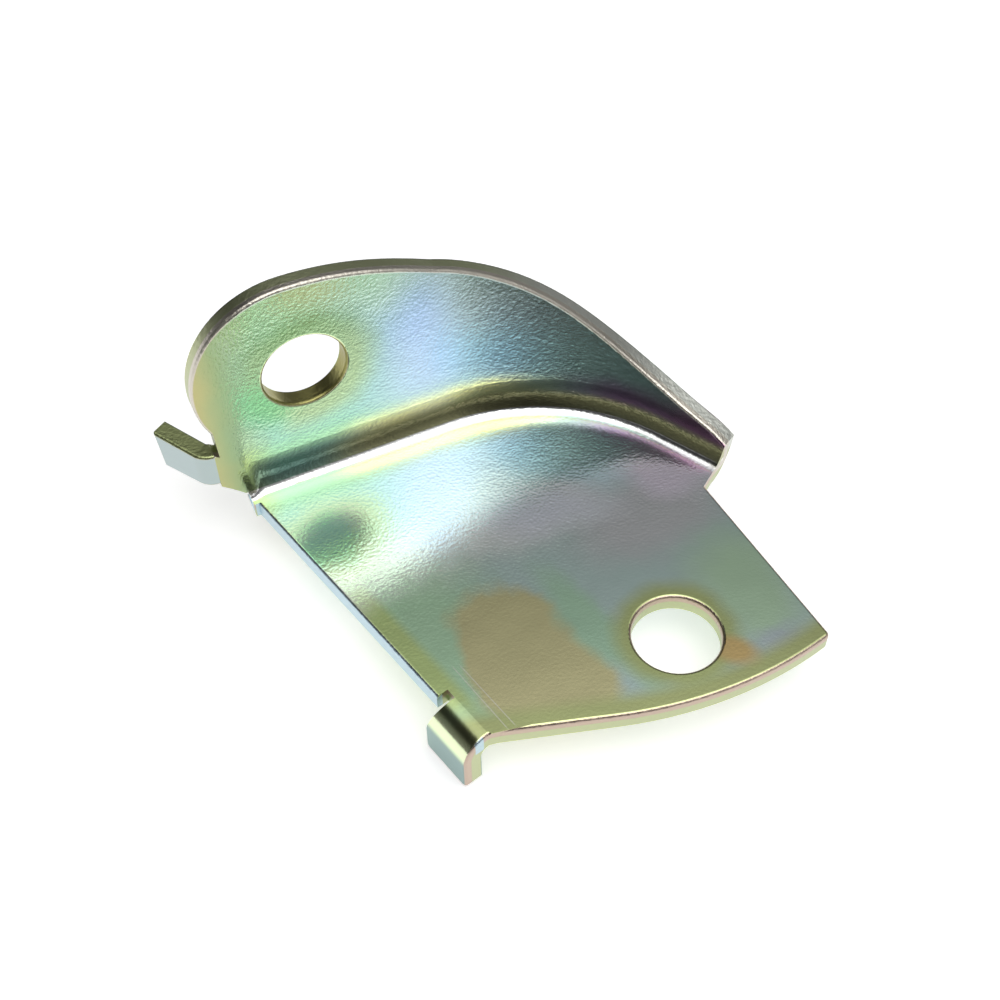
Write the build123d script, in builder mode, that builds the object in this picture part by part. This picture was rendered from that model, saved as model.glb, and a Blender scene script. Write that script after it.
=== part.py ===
from build123d import *
import math
import os

# One-piece stamped and folded steel bracket.
# Frame: millimetres, +Z up. The origin is on the axis of the base bore, on the
# underside of the base plate, which is the face that bears on the mating part.
# +X runs along the straight stretch of the upright flange, +Y points back to it.

sheet = 2.0                  # sheet thickness
bore_radius = 4.5            # both bores clear an M8 screw
edge_roll = 0.35             # rounding that the punch leaves on the face it enters

# Fold between base and flange: tight at its root, easing as it climbs the flange.
root_radius = 1.2
root_angle = math.radians(50)
climb_radius = 5.0
fold_reach = root_radius * math.sin(root_angle) + climb_radius * (1 - math.sin(root_angle))
fold_height = root_radius * (1 - math.cos(root_angle)) + climb_radius * math.cos(root_angle)
strip_overlap = 0.5          # flat strip formed with the fold, inside the base plate
fold_run_in = -45.0          # the fold's section starts here, before it is cut to length
fold_run_up = 30.0           # and stands this high
blank_margin = 3.0           # how far a blank stands past the sheet it cuts

# Upright flange, measured on its front (concave) face.
flange_front_y = 36.65       # plane of the straight stretch
flange_back_y = flange_front_y + sheet
lug_bore_x = -23.6
lug_bore_z = 16.05
lug_radius = 11.0            # round end of the lug
lug_centre_x = lug_bore_x - 0.85
lug_centre_z = lug_bore_z + 0.25
curve_start_x = -8.4         # where the flange begins to turn towards the front
curve_radius = 23.9          # plan radius of the front face
curve_centre_y = flange_front_y - curve_radius
curve_angle = 62.0           # how far the flange turns, in degrees
end_run = 7.2                # straight stretch beyond the turn

# The flange's top edge falls as it turns: (angle, run past the turn, height).
top_edge = [
    (0, 0, 23.5), (15, 0, 20.7), (30, 0, 16.8), (45, 0, 11.9),
    (curve_angle, 0, 7.4), (curve_angle, 3.6, 6.0), (curve_angle, end_run, 4.4),
]
shoulder_slope = -0.43       # fall of the edge where the straight stretch ends

# Ear at the flange's lower left, which carries the back tab.
ear_x = -34.55
ear_bottom_z = 3.9
ear_top_z = 8.3
notch = (-34.0, 7.9)
lug_end_z = 11.1
fold_end = (-32.0, 2.3)

# Back tab, folded behind the ear.
back_tab_angle = math.radians(58)
back_tab_bend = 0.3
back_tab_top_length = 5.5
back_tab_bottom_length = 4.9
back_tab_rise = 0.35         # how much its top edge climbs towards the free end

# Base plate, plan outline.
left_back = (-31.6, 34.35)
left_front = (-24.3, 3.85)
front_start = (-20.6, -2.35)
front_bow = (-9.5, -5.8)     # where the straight part of the front edge becomes a bow
right_front = (13.6, -6.65)
right_back = (12.45, 15.4)
right_corner = 0.5

# Down tab, folded under the base at its front left corner.
down_tab_end = 6.5           # its front end, along the left edge from left_front
down_tab_width = 6.3
down_tab_top_width = 5.2     # the relief cut takes its back corner off at the fold
down_tab_reach = 5.0         # below the base's underside
down_tab_bend = 1.0
down_tab_outboard = 1.7      # its outer face stands outside the left edge
down_tab_corner = 0.6
down_tab_fold = down_tab_outboard - sheet - down_tab_bend      # where the base starts to turn
down_tab_root = 1.5          # flat length it shares with the base plate
relief_back = 0.15           # the relief cut runs from here to the tab, in as far as the fold

along_left = (Vector(*left_front) - Vector(*left_back)).normalized()
out_left = Vector(along_left.Y, -along_left.X)


def by_left_edge(along, out):
    """Point in plan, measured along and outward from the base's left edge."""
    return Vector(*left_front) + along_left * along + out_left * out


def by_curve(angle, run, radius):
    """Point in plan at an angle round the flange's curve, and a run straight on from there."""
    turn = math.radians(angle)
    return Vector(
        curve_start_x + radius * math.sin(turn) + run * math.cos(turn),
        curve_centre_y + radius * math.cos(turn) - run * math.sin(turn),
    )


def curve_plane(angle, run):
    """Upright plane square to the flange at an angle round the curve and a run past it."""
    turn = math.radians(angle)
    return Plane(
        origin=by_curve(angle, run, 0),
        x_dir=(math.sin(turn), math.cos(turn), 0),
        z_dir=(math.cos(turn), -math.sin(turn), 0),
    )


def fold_side(offset):
    """One side of the fold's section: up from the base, round the root, up the climb."""
    root = root_radius + offset
    climb = climb_radius + offset
    centre = (-fold_reach, sheet + root_radius)
    mid = (centre[0] + root * math.sin(root_angle), centre[1] - root * math.cos(root_angle))
    base_end = (centre[0], sheet - offset)
    Line((centre[0] - strip_overlap, sheet - offset), base_end)
    RadiusArc(base_end, mid, -root)
    RadiusArc(mid, (offset, sheet + fold_height), -climb)
    Line((offset, sheet + fold_height), (offset, fold_run_up))


# Blank of the straight stretch: the lug, its sloping shoulder, the notch and the ear.
with BuildPart() as straight_blank:
    with BuildSketch(Plane.XZ.offset(-flange_back_y - blank_margin)):
        with BuildLine():
            lug_end_x = lug_centre_x - math.sqrt(lug_radius**2 - (lug_centre_z - lug_end_z) ** 2)
            lug_top = (lug_centre_x, lug_centre_z + lug_radius)
            shoulder_end = (curve_start_x, top_edge[0][2])
            Polyline(
                (curve_start_x, -blank_margin),
                (fold_end[0], -blank_margin),
                fold_end,
                (ear_x, ear_bottom_z),
                (ear_x, ear_top_z),
                notch,
                (lug_end_x, lug_end_z),
            )
            RadiusArc((lug_end_x, lug_end_z), lug_top, lug_radius)
            Spline(lug_top, shoulder_end, tangents=[(1, 0), (1, shoulder_slope)])
            Line(shoulder_end, (curve_start_x, -blank_margin))
        make_face()
    extrude(amount=sheet + fold_reach + 2 * blank_margin)

# Blank of the curved stretch, from station to station along the falling top edge.
with BuildPart() as curved_blank:
    for angle, run, height in top_edge:
        with BuildSketch(curve_plane(angle, run)):
            with Locations((curve_radius, height)):
                Rectangle(
                    2 * (fold_reach + blank_margin),
                    height + blank_margin,
                    align=(Align.CENTER, Align.MAX),
                )
    loft()

# Flange: the fold's section swept along the straight stretch and round the curve,
# then cut to its blank.
with BuildPart() as flange:
    with BuildLine() as fold_path:
        Line((fold_run_in, flange_front_y), (curve_start_x, flange_front_y))
        curve_end = by_curve(curve_angle, 0, curve_radius)
        RadiusArc((curve_start_x, flange_front_y), curve_end, curve_radius)
        Line(curve_end, by_curve(curve_angle, end_run, curve_radius))
    section_plane = Plane(origin=(fold_run_in, flange_front_y, 0), x_dir=(0, 1, 0), z_dir=(1, 0, 0))
    with BuildSketch(section_plane):
        with BuildLine():
            fold_side(0)
            Line((0, fold_run_up), (sheet, fold_run_up))
            fold_side(sheet)
            Line((-fold_reach - strip_overlap, 0), (-fold_reach - strip_overlap, sheet))
        make_face()
    sweep(path=fold_path.line)
    add(straight_blank.part + curved_blank.part, mode=Mode.INTERSECT)

# Base plate, from the fold to its bowed front edge.
with BuildPart() as base_plate:
    with BuildSketch() as base_outline:
        with BuildLine():
            inner_radius = curve_radius - fold_reach
            strip_y = flange_front_y - fold_reach
            left_top = by_left_edge((left_front[1] - strip_y) / -along_left.Y, 0)
            Polyline(
                (curve_start_x, strip_y),
                left_top,
                by_left_edge(relief_back, 0),
                by_left_edge(relief_back, down_tab_fold),
                by_left_edge(down_tab_end, down_tab_fold),
                front_start,
                front_bow,
            )
            front_slope = Vector(*front_bow) - Vector(*front_start)
            TangentArc(front_bow, right_front, tangent=front_slope)
            Polyline(
                right_front,
                right_back,
                by_curve(curve_angle, end_run, inner_radius),
                by_curve(curve_angle, 0, inner_radius),
            )
            RadiusArc(by_curve(curve_angle, 0, inner_radius), (curve_start_x, strip_y), -inner_radius)
        make_face()
        fillet(base_outline.vertices().sort_by_distance(right_front)[0], right_corner)
    extrude(amount=sheet)

# Down tab: a strip of the base turned under, square to the left edge.
with BuildPart() as down_tab:
    inner_x = down_tab_outboard - sheet
    root_x = down_tab_fold - down_tab_root
    with BuildSketch(Plane(origin=by_left_edge(down_tab_end, 0), x_dir=out_left, z_dir=-along_left)):
        with BuildLine():
            FilletPolyline(
                (root_x, sheet),
                (down_tab_outboard, sheet),
                (down_tab_outboard, -down_tab_reach),
                radius=sheet + down_tab_bend,
            )
            Line((down_tab_outboard, -down_tab_reach), (inner_x, -down_tab_reach))
            FilletPolyline((inner_x, -down_tab_reach), (inner_x, 0), (root_x, 0), radius=down_tab_bend)
            Line((root_x, 0), (root_x, sheet))
        make_face()
    extrude(amount=down_tab_width)
    # its blank, seen from outside: rounded free corners, narrower at the fold behind the relief
    outside = Plane(origin=by_left_edge(down_tab_end, blank_margin), x_dir=-along_left, z_dir=-out_left)
    with BuildSketch(outside) as side:
        with BuildLine():
            Polyline(
                (0, -down_tab_reach),
                (down_tab_width, -down_tab_reach),
                (down_tab_width, -down_tab_reach / 2),
                (down_tab_top_width, sheet),
                (0, sheet),
                close=True,
            )
        make_face()
        fillet(side.vertices().group_by(Axis.Y)[0], down_tab_corner)
    extrude(amount=blank_margin - root_x, mode=Mode.INTERSECT)

# Back tab: the ear's free end, turned behind the flange and cut to a slanted end.
with BuildPart() as back_tab:
    fold_axis_y = flange_back_y + back_tab_bend
    with BuildSketch(Plane(origin=(ear_x, flange_front_y, 0), x_dir=(0, 1, 0), z_dir=(1, 0, 0))):
        with Locations((sheet / 2, (ear_bottom_z + ear_top_z) / 2)):
            Rectangle(sheet, ear_top_z - ear_bottom_z)
    revolve(axis=Axis((ear_x, fold_axis_y, 0), (0, 0, -1)), revolution_arc=math.degrees(back_tab_angle))
    outer_radius = sheet + back_tab_bend
    flat_start = (
        ear_x - outer_radius * math.sin(back_tab_angle),
        fold_axis_y - outer_radius * math.cos(back_tab_angle),
    )
    flat_plane = Plane(
        origin=flat_start,
        x_dir=(-math.cos(back_tab_angle), math.sin(back_tab_angle), 0),
        z_dir=(math.sin(back_tab_angle), math.cos(back_tab_angle), 0),
    )
    with BuildSketch(flat_plane):
        with BuildLine():
            Polyline(
                (0, ear_bottom_z),
                (back_tab_bottom_length, ear_bottom_z),
                (back_tab_top_length, ear_top_z + back_tab_rise),
                (0, ear_top_z),
                close=True,
            )
        make_face()
    extrude(amount=sheet)

# The whole bracket, one piece.
with BuildPart() as bracket:
    add(flange.part)
    add(base_plate.part)
    add(down_tab.part)
    add(back_tab.part)

    # bores
    with BuildSketch():
        Circle(bore_radius)
    extrude(amount=sheet, mode=Mode.SUBTRACT)
    with BuildSketch(Plane.XZ.offset(-flange_back_y)):
        with Locations((lug_bore_x, lug_bore_z)):
            Circle(bore_radius)
    extrude(amount=sheet, mode=Mode.SUBTRACT)

    # edges rolled over by the punch: both bores and the outline, on the face it enters
    up = Vector(0, 0, 1)
    run_length, run_top = top_edge[-2][1:]
    rolled_over = [
        (bore_radius, 0, sheet),
        (lug_bore_x, flange_front_y, lug_bore_z + bore_radius),
        # base plate: left edge, front edge, right edge
        by_left_edge((left_front[1] - left_back[1]) / 2, 0) + up * sheet,
        ((front_start[0] + front_bow[0]) / 2, (front_start[1] + front_bow[1]) / 2, sheet),
        (0, right_front[1], sheet),
        (*right_front, sheet),
        ((right_front[0] + right_back[0]) / 2, (right_front[1] + right_back[1]) / 2, sheet),
        # flange: lug, shoulder, falling top edge
        (lug_centre_x - lug_radius, flange_front_y, lug_centre_z),
        ((lug_centre_x + curve_start_x) / 2, flange_front_y, (lug_top[1] + shoulder_end[1]) / 2),
        by_curve(top_edge[2][0], 0, curve_radius) + up * top_edge[2][2],
        by_curve(curve_angle, run_length / 2, curve_radius) + up * top_edge[-3][2],
        by_curve(curve_angle, end_run, curve_radius) + up * run_top,
        # down tab: front end round the fold, lower edge, back end
        by_left_edge(down_tab_end, down_tab_fold) + up * sheet,
        by_left_edge(down_tab_end, down_tab_outboard) - up * sheet,
        by_left_edge(down_tab_end / 2, down_tab_outboard) - up * down_tab_reach,
        by_left_edge(0, down_tab_outboard) - up * (down_tab_reach - 2 * down_tab_corner),
        # back tab: top edge, slanted end, lower edge
        flat_plane.from_local_coords((back_tab_bottom_length / 2, ear_top_z)),
        flat_plane.from_local_coords((back_tab_top_length, ear_top_z)),
        flat_plane.from_local_coords((back_tab_bottom_length / 2, ear_bottom_z)),
    ]
    fillet([bracket.edges().sort_by_distance(point)[0] for point in rolled_over], edge_roll)

bracket.part.label = "bracket"
os.makedirs("parts", exist_ok=True)
export_step(bracket.part, "parts/bracket.step")
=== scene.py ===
import math

import bmesh
import bpy
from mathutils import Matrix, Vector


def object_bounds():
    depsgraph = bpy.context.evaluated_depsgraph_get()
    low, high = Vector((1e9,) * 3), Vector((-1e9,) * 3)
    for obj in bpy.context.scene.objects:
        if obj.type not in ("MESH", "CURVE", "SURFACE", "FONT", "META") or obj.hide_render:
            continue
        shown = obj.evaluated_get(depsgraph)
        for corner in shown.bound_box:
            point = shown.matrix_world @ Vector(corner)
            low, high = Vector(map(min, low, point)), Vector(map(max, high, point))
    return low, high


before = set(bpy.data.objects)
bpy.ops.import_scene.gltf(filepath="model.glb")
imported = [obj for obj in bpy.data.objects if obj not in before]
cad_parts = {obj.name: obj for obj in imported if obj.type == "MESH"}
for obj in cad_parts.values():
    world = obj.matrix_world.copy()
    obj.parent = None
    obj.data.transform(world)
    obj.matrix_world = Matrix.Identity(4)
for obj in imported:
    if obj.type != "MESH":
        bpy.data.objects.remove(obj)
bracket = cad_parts["bracket"]
cad_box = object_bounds()


# ---------------------------------------------------------------- viewpoint
# Close in, above the front left corner of the base, looking back into the fold
# between base and flange.
camera_data = bpy.data.cameras.new("camera")
camera = bpy.data.objects.new("camera", camera_data)
bpy.context.scene.collection.objects.link(camera)
camera.location = (-0.04918, -0.06391, 0.11655)
camera.rotation_euler = [math.radians(degrees) for degrees in (40.035, 0.412, -25.688)]
camera_data.sensor_width = 36.0
camera_data.lens = 50.496
camera_data.clip_start = 0.01
bpy.context.scene.camera = camera


# ---------------------------------------------------------------- zinc-plated sheet
# One piece of 2 mm steel sheet, blanked, pierced and folded in a press, then zinc
# plated in a barrel. The yellow chromate over the zinc is a film of uneven thickness,
# so its tint drifts from gold through green to blue and violet across the sheet.
class Socket:
    """A node's output, so that shader maths reads as plain maths."""

    def __init__(self, tree, output):
        self.tree = tree
        self.output = output

    def node(self, kind, settings, inputs, output=0):
        """Adds any other node. Settings come first, and a colour ramp's stops are one."""
        made = self.tree.nodes.new(kind)
        for name, setting in settings.items():
            if name == "stops":
                while len(made.color_ramp.elements) < len(setting):
                    made.color_ramp.elements.new(0.5)
                for stop, (position, level) in zip(made.color_ramp.elements, setting):
                    stop.position = position
                    stop.color = (level, level, level, 1.0)
            else:
                setattr(made, name, setting)
        for name, value in inputs.items():
            if isinstance(value, Socket):
                self.tree.links.new(value.output, made.inputs[name])
            else:
                made.inputs[name].default_value = value
        return Socket(self.tree, made.outputs[output]) if made.outputs else made

    def maths(self, operation, *others):
        inputs = dict(enumerate((self, *others)))
        return self.node("ShaderNodeMath", {"operation": operation}, inputs)

    def __add__(self, other):
        return self.maths("ADD", other)

    def __sub__(self, other):
        return self.maths("SUBTRACT", other)

    def __rsub__(self, other):
        return self.maths("MULTIPLY", -1.0).maths("ADD", other)

    def __mul__(self, other):
        return self.maths("MULTIPLY", other)

    def __truediv__(self, other):
        return self.maths("DIVIDE", other)

    __radd__ = __add__
    __rmul__ = __mul__

    def rise(self, low, high):
        """0 below low, 1 above high, and smooth between."""
        limits = {"Value": self, "From Min": low, "From Max": high}
        return self.node("ShaderNodeMapRange", {"interpolation_type": "SMOOTHSTEP"}, limits)

    def within(self, low, high, soft):
        """1 between two limits, falling to 0 over a soft edge outside them."""
        return self.rise(low - soft, low) * (1 - self.rise(high, high + soft))


def distance(a, b):
    """How far a point is from an axis, from its offsets in two directions."""
    return (a * a + b * b).maths("SQRT")


def spot(across, up, centre, reach, turn=0.0, soft=0.5):
    """An oval patch: 1 inside, 0 outside, with a soft edge."""
    cos, sin = math.cos(math.radians(turn)), math.sin(math.radians(turn))
    a = ((across - centre[0]) * cos + (up - centre[1]) * sin) / reach[0]
    b = ((up - centre[1]) * cos - (across - centre[0]) * sin) / reach[1]
    return 1 - distance(a, b).rise(1 - soft, 1 + soft)


def tint(under, mask, over):
    """Lays one colour over another, as far as the mask lets it through."""
    colours = [c if isinstance(c, Socket) else (*c, 1.0) for c in (under, over)]
    inputs = {0: mask, 6: colours[0], 7: colours[1]}
    return mask.node("ShaderNodeMix", {"data_type": "RGBA"}, inputs, output=2)


plated = bpy.data.materials.new("zinc_yellow_chromate")
plated.use_nodes = True
plated.node_tree.nodes.clear()
texture_place = plated.node_tree.nodes.new("ShaderNodeTexCoord")
place = Socket(plated.node_tree, texture_place.outputs["Object"])
to_millimetres = {0: place, "Scale": 1000.0}
millimetres = place.node("ShaderNodeVectorMath", {"operation": "SCALE"}, to_millimetres)
x, y, z = (place.node("ShaderNodeSeparateXYZ", {}, {0: millimetres}, axis) for axis in range(3))


def noise(size, detail=2.0):
    """Cloudy variation about 0, from -1 to 1, with lumps of one size in millimetres."""
    inputs = {"Vector": millimetres, "Scale": 1 / size, "Detail": detail}
    cloud = place.node("ShaderNodeTexNoise", {}, inputs)
    return (cloud - 0.5) * 2


# The film's patches have wavering outlines.
film_x = x + 2.0 * noise(8.0) + 0.5 * noise(1.5)
film_y = y + 2.0 * noise(7.0) + 0.5 * noise(1.2)

sheet = 2.0  # thickness in mm, as every size in this section

# Flange: straight, then round its turn, then a short straight run-out. How far along
# a point is, and how deep under the front face.
turn_x, turn_y = -8.4, 12.75
turn_radius = 23.9
turn_end = math.radians(62)
past_start = (x - turn_x).maths("MAXIMUM", 0.0)
from_centre = y - turn_y
past_end = (x - turn_x) * math.cos(turn_end) - from_centre * math.sin(turn_end)
angle = past_start.maths("ARCTAN2", from_centre).maths("MINIMUM", turn_end)
along = x.maths("MINIMUM", turn_x) + angle * turn_radius + past_end.maths("MAXIMUM", 0.0)
turn_depth = distance(past_start, from_centre) - turn_radius
run_depth = (x - turn_x) * math.sin(turn_end) + from_centre * math.cos(turn_end) - turn_radius
in_run = past_end.maths("GREATER_THAN", 0.0)
wall_depth = turn_depth + in_run * (run_depth - turn_depth)

# Back tab: depth under its front face, round its bend and along its flat.
tab_bend = 0.3 + sheet  # outer radius
tab_angle = math.radians(58)
bend_x, bend_y = x + 34.55, y - 38.95
tab_top = 9.2
behind_ear = bend_x.maths("LESS_THAN", 0.0) * z.maths("LESS_THAN", tab_top)
past_bend = bend_y * math.sin(tab_angle) - bend_x * math.cos(tab_angle)
bend_depth = tab_bend - distance(bend_x, bend_y)
flat_depth = tab_bend + (bend_x * math.sin(tab_angle) + bend_y * math.cos(tab_angle))
on_flat = past_bend.maths("GREATER_THAN", 0.0)
tab_depth = bend_depth + on_flat * (flat_depth - bend_depth)
wall_depth = wall_depth + behind_ear * (tab_depth - wall_depth)

# Base and down tab: depth under the upper face, followed round the down tab's fold.
# Distances go outward from the base's left edge, and forward along it, from the tab.
out_x, out_y = -0.9725, -0.2328
beside_x, beside_y = x + 24.3, y - 3.85
outward = beside_x * out_x + beside_y * out_y
forward = beside_y * out_x - beside_x * out_y
down_fold_in, down_fold_below = 1.3, 1.0
relief_cut = 0.15
in_front_of_cut = forward.maths("GREATER_THAN", relief_cut)
fold_out = (outward + down_fold_in).maths("MAXIMUM", 0.0) * in_front_of_cut
fold_up = (z + down_fold_below).maths("MAXIMUM", 0.0)
plate_depth = down_fold_below + sheet - distance(fold_out, fold_up)

# Across the thickness of the cut edges: rolled over where the punch entered, then
# sheared. On a face the depth is 0 or the sheet's thickness, and both masks are 0.
depth = plate_depth.maths("MAXIMUM", wall_depth)
rolled = depth.within(0.06, 0.80, 0.06)
sheared = depth.within(0.85, 1.88, 0.1)
cut_edge = rolled + sheared
on_flange = wall_depth.rise(-2.6, -0.6)

# Distances in from the front edge, which is straight at its left and then bowed, and
# from the axis of each bore.
bow_start_x, bow_start_y = -9.5, -5.8
bow_radius = 44.16
from_bow = bow_radius - distance(x - 3.62, y - 36.37)
from_line = (x - bow_start_x) * 0.297 + (y - bow_start_y) * 0.955
from_front = from_line + x.maths("GREATER_THAN", bow_start_x) * (from_bow - from_line)
from_hole = distance(x, y) + 0.5 * noise(3.0)
from_bore = distance(x + 23.6, z - 16.05) + 0.8 * noise(4.0)

# Film on the base: pale teal, greener towards the left edge.
base_film_and_painted_highlights = tint((0.60, 0.76, 0.72), 1 - film_x.rise(-19.0, -11.0), (0.58, 0.85, 0.58))
for centre, reach, turn, soft, colour in (
    ((-14.2, 3.4), (6.2, 10.5), 14, 0.12, (0.74, 0.70, 0.39)),  # khaki, crisply outlined
    ((5.0, 14.5), (8.5, 4.5), 0, 0.5, (0.70, 0.72, 0.73)),  # grey behind the hole
    ((-6.6, 3.5), (2.2, 9.0), 14, 0.5, (0.54, 0.80, 0.58)),  # green beside the khaki
    ((9.5, 2.0), (5.0, 6.5), 0, 0.6, (0.62, 0.85, 0.60)),  # green right of the hole
    ((9.5, -4.5), (3.0, 1.8), 0, 0.6, (0.60, 0.70, 0.72)),  # blue-grey at the front
):
    base_film_and_painted_highlights = tint(base_film_and_painted_highlights, spot(film_x, film_y, centre, reach, turn, soft), colour)
for mask, colour in (
    # gold along the front edge and round the hole, orange at one side of it
    (1 - from_front.rise(1.0, 3.2), (0.58, 0.64, 0.30)),
    (1 - from_hole.rise(5.0, 7.4), (0.58, 0.66, 0.30)),
    (spot(x, y, (4.0, -4.0), (2.4, 1.5), turn=-45, soft=0.5), (0.78, 0.58, 0.26)),
    # yellow-green along the left edge
    (outward.within(-1.6, 1.0, 1.4) * film_y.rise(-1.0, 3.0), (0.66, 0.82, 0.36)),
    # painted highlight towards the fold: near-white where the base mirrors the soft box
    (film_y.rise(14.0, 21.0) * (1 - film_x.rise(-3.0, 5.0)), (0.98, 0.99, 0.97)),
):
    base_film_and_painted_highlights = tint(base_film_and_painted_highlights, mask, colour)
for centre, reach, turn, soft, colour in (
    ((-26.5, 26.0), (3.6, 2.8), 0, 0.6, (0.55, 0.96, 0.80)),  # green at the left edge
    ((3.0, 25.0), (9.0, 4.5), -28, 0.4, (0.74, 0.92, 1.0)),  # pale blue inside the turn
    ((9.8, 20.0), (5.0, 4.0), -45, 0.5, (0.95, 0.88, 1.0)),  # lavender at its right end
    ((-4.4, 20.1), (6.5, 3.0), -20, 0.8, (0.88, 0.92, 1.0)),  # and fainter at its left
):
    base_film_and_painted_highlights = tint(base_film_and_painted_highlights, spot(film_x, film_y, centre, reach, turn, soft), colour)
# painted highlight along the foot of the fold, pale straw
base_film_and_painted_highlights = tint(base_film_and_painted_highlights, y.rise(30.5, 33.5), (0.98, 0.98, 0.70))

# Film on the flange: teal on the lug, and bluer to the right of it.
flange_film_and_painted_light = tint((0.29, 0.52, 0.44), along.rise(-22.0, -12.0), (0.38, 0.54, 0.60))
for mask, colour in (
    # pale green towards the top
    ((z + noise(6.0)).rise(17.0, 26.0), (0.64, 0.76, 0.62)),
    # olive, then gold, at the lug's round end
    (1 - (along + 1.5 * noise(5.0)).rise(-33.0, -27.0), (0.34, 0.44, 0.24)),
    (1 - (along + noise(5.0)).rise(-35.5, -32.0), (0.50, 0.46, 0.22)),
    # yellow film above the fold, brightened into a painted highlight
    ((1 - (z + noise(5.0)).rise(4.0, 7.5)) * along.rise(-24.0, -14.0), (0.92, 0.90, 0.44)),
    # grey-green round the turn, with plum above the fold
    (along.rise(-3.0, 8.0), (0.52, 0.66, 0.56)),
    (along.rise(2.0, 12.0) * (1 - (z + noise(5.0)).rise(4.5, 8.5)), (0.42, 0.24, 0.36)),
    # lavender-blue before the turn, and dull green where it begins
    (spot(along, z + noise(4.0), (-10.0, 15.0), (3.5, 8.0), soft=0.8), (0.42, 0.56, 0.74)),
    (along.rise(-12.0, -4.0) * (z + noise(4.0)).rise(9.0, 20.0), (0.44, 0.54, 0.50)),
    # painted shade in the climb of the fold: a dark olive band standing in for a dark reflection
    (z.within(2.5, 3.6, 1.0) * along.rise(-26.0, -16.0), (0.42, 0.42, 0.22)),
    # green round the bore
    (1 - from_bore.rise(5.5, 9.5), (0.36, 0.49, 0.29)),
):
    flange_film_and_painted_light = tint(flange_film_and_painted_light, mask, colour)

# Both together, and what lies over them: the painted highlight in the fold's root, the tabs and
# the cut edges.
film_and_painted_light = tint(base_film_and_painted_highlights, on_flange, flange_film_and_painted_light)
on_down_tab = outward.rise(-1.2, -0.2)
beside_base = outward.within(-0.6, 0.3, 0.1) * z.within(0.0, 2.5, 0.1)
for mask, colour in (
    # painted highlight in the root of the fold, near-white
    (z.within(2.06, 2.5, 0.05) * y.rise(17.0, 18.0), (0.95, 0.96, 0.95)),
    # down tab: straw on its bend, blue-green on its outer face
    (on_down_tab * (1 - z.rise(0.6, 1.9)), (0.85, 0.95, 0.62)),
    (on_down_tab * (1 - z.rise(-1.2, 0.0)), (0.20, 0.33, 0.31)),
    (behind_ear, (0.42, 0.50, 0.50)),
    # rollover: pinkish brown on the base, greyer on the flange
    (rolled, (0.56, 0.44, 0.36)),
    (rolled * on_flange, (0.66, 0.62, 0.54)),
    # sheared steel: yellow-green, with olive on the back tab and in the flange's bore
    (sheared, (0.52, 0.56, 0.34)),
    (cut_edge * behind_ear, (0.38, 0.43, 0.20)),
    (cut_edge * on_flange * (1 - from_bore.rise(5.2, 5.6)), (0.36, 0.34, 0.13)),
    # light blue on the base's left edge, and grey on the flange's falling top edge
    (cut_edge * beside_base, (0.52, 0.66, 0.74)),
    (sheared * along.rise(-6.0, 4.0) * z.rise(2.5, 3.5), (0.70, 0.72, 0.66)),
):
    film_and_painted_light = tint(film_and_painted_light, mask, colour)

# Scratches from the barrel: a pair beside the down tab, and one near the fold.
for start, end in (
    ((-21.4, 5.7), (-19.8, -1.9)),
    ((-20.7, 5.6), (-19.0, -1.9)),
    ((-21.7, 18.6), (-17.8, 17.4)),
):
    length = math.dist(start, end)
    step_x, step_y = (end[0] - start[0]) / length, (end[1] - start[1]) / length
    run = ((x - start[0]) * step_x + (y - start[1]) * step_y).within(0.0, length, 0.8)
    aside = (x - start[0]) * step_y - (y - start[1]) * step_x
    scratch = run * aside.within(-0.03, 0.03, 0.05) * (1 - on_flange) * 0.5
    film_and_painted_light = tint(film_and_painted_light, scratch, (0.95, 0.95, 0.85))

# Skin of the plating: fine orange peel over the slight waviness of rolled sheet. It is
# fainter on the flat of the base, and coarser where the flange is stretched in its turn.
peel_depth = 0.2 + 0.8 * on_flange.maths("MAXIMUM", y.rise(6.0, 20.0))
peel = (0.011 * noise(0.34, 2.0) + 0.004 * noise(1.3, 1.0)) * peel_depth
stretched = 0.012 * noise(0.5, 2.0) * along.rise(-10.0, 0.0) * on_flange
waviness = 0.012 * noise(6.0, 1.0)
tool_marks = sheared * 0.02 * noise(0.5, 3.0) + rolled * 0.03 * noise(0.3, 3.0)
height = peel + stretched + waviness + tool_marks

# The front of the ear is struck flat again where the fold runs out behind it: here only the
# shading normal is turned to face the front, while the mesh keeps the fold's curve.
front_face = on_flange * (1 - wall_depth.rise(0.03, 0.06))
struck_flat = (1 - x.rise(-31.9, -30.2)) * front_face * (1 - behind_ear)
surface_facts = plated.node_tree.nodes.new("ShaderNodeNewGeometry")
geometry = Socket(plated.node_tree, surface_facts.outputs["Normal"])
to_the_front = {0: struck_flat, 4: geometry, 5: (0.0, -1.0, 0.0)}
facing = geometry.node("ShaderNodeMix", {"data_type": "VECTOR"}, to_the_front, output=1)
relief = {"Strength": 1.0, "Distance": 0.001, "Height": height, "Normal": facing}
surface = place.node("ShaderNodeBump", {}, relief)

roughness = 0.17 + 0.02 * noise(2.0) + 0.2 * sheared + 0.16 * rolled
metal = {"Base Color": film_and_painted_light, "Metallic": 1.0, "Roughness": roughness, "Normal": surface}
plated_shader = place.node("ShaderNodeBsdfPrincipled", {}, metal)
plated_shader.node("ShaderNodeOutputMaterial", {}, {"Surface": plated_shader})
bracket.data.materials.clear()
bracket.data.materials.append(plated)


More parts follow.
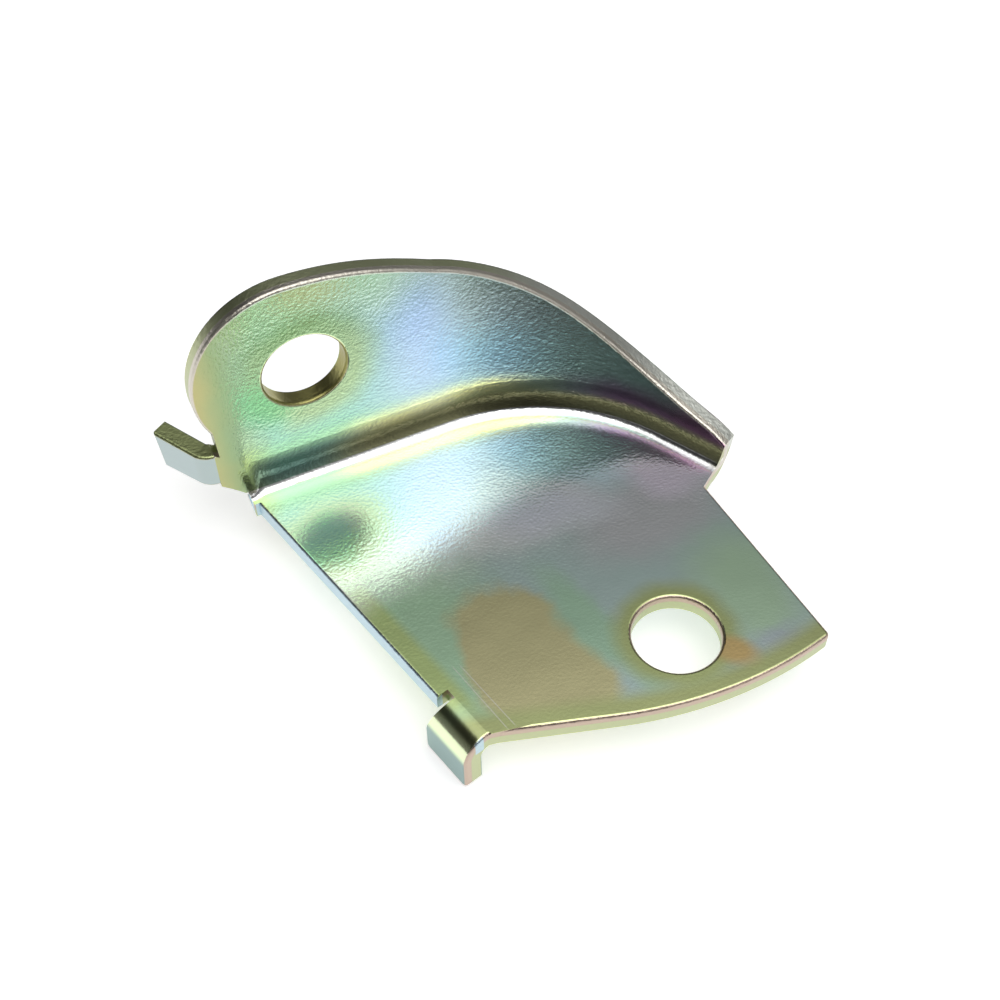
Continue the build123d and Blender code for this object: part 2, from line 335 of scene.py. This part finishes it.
# ---------------------------------------------------------------- floor and surroundings
# A pale matt table under the bracket, and a studio round it: one broad soft light
# overhead, leaning towards the viewer, and dim walls that the bright metal mirrors.
floor_mesh = bpy.data.meshes.new("floor")
floor_form = bmesh.new()
bmesh.ops.create_grid(floor_form, x_segments=1, y_segments=1, size=1.5)
bmesh.ops.translate(floor_form, verts=floor_form.verts, vec=(0, 0, cad_box[0][2]))
floor_form.to_mesh(floor_mesh)
floor_form.free()
floor = bpy.data.objects.new("floor", floor_mesh)
bpy.context.scene.collection.objects.link(floor)

# The table glows a little to the eye and in the metal, so that it reads as white.
table = bpy.data.materials.new("pale_table")
table.use_nodes = True
table.node_tree.nodes.clear()
rays = table.node_tree.nodes.new("ShaderNodeLightPath")
seen = Socket(table.node_tree, rays.outputs["Is Camera Ray"])
mirrored = Socket(table.node_tree, rays.outputs["Is Glossy Ray"])
matt = seen.node("ShaderNodeBsdfDiffuse", {}, {"Color": (0.85, 0.85, 0.85, 1.0)})
glow = seen.node("ShaderNodeEmission", {}, {"Strength": (seen + mirrored) * 0.5})
table_top = seen.node("ShaderNodeAddShader", {}, {0: matt, 1: glow})
table_top.node("ShaderNodeOutputMaterial", {}, {"Surface": table_top})
floor_mesh.materials.append(table)

studio = bpy.data.worlds.new("studio")
bpy.context.scene.world = studio
studio.use_nodes = True
studio.node_tree.nodes.clear()
sky_place = studio.node_tree.nodes.new("ShaderNodeTexCoord")
sky = Socket(studio.node_tree, sky_place.outputs["Generated"])
sky_x, sky_y, sky_z = (sky.node("ShaderNodeSeparateXYZ", {}, {0: sky}, axis) for axis in range(3))

# Brightness from the far horizon up into the light.
towards_light = sky_y * -0.3 + sky_z * 0.954
light_stops = [
    (0.38, 0.12), (0.53, 0.33), (0.64, 0.36),  # wall
    (0.74, 1.15), (0.87, 1.25),  # ceiling, lit from the lamp
    (0.905, 3.1), (1.0, 3.2),  # soft box
]
light = sky.node("ShaderNodeValToRGB", {"stops": light_stops}, {"Fac": towards_light})

# It falls away to the left, though less so high up, where the soft box reaches over.
reach_over = (sky_z - 0.70).maths("MAXIMUM", 0.0) * 4.0
from_left = sky_x + reach_over + 0.5
side_stops = [(0.15, 0.04), (0.37, 0.08), (0.50, 0.13), (0.64, 0.40), (0.76, 1.0)]
side = sky.node("ShaderNodeValToRGB", {"stops": side_stops}, {"Fac": from_left})

# Faint light from everywhere, from low on the walls, and from the left wall.
everywhere = 0.01
low_walls = (1 - sky_z.rise(0.1, 0.5)) * 0.07
left_wall = (1 - sky_x.rise(-0.8, -0.3)) * (1 - sky_z.rise(0.3, 0.6)) * 0.12
level = (light * side + everywhere + low_walls + left_wall) * 0.8

# Seen past the table, the backdrop is plain white.
sky_rays = studio.node_tree.nodes.new("ShaderNodeLightPath")
sky_seen = Socket(studio.node_tree, sky_rays.outputs["Is Camera Ray"])
strength = level + sky_seen * (1 - level)
white = (1.0, 1.0, 1.0, 1.0)
backdrop = sky.node("ShaderNodeBackground", {}, {"Color": white, "Strength": strength})
backdrop.node("ShaderNodeOutputWorld", {}, {"Surface": backdrop})
bpy.context.scene.view_settings.view_transform = "Standard"
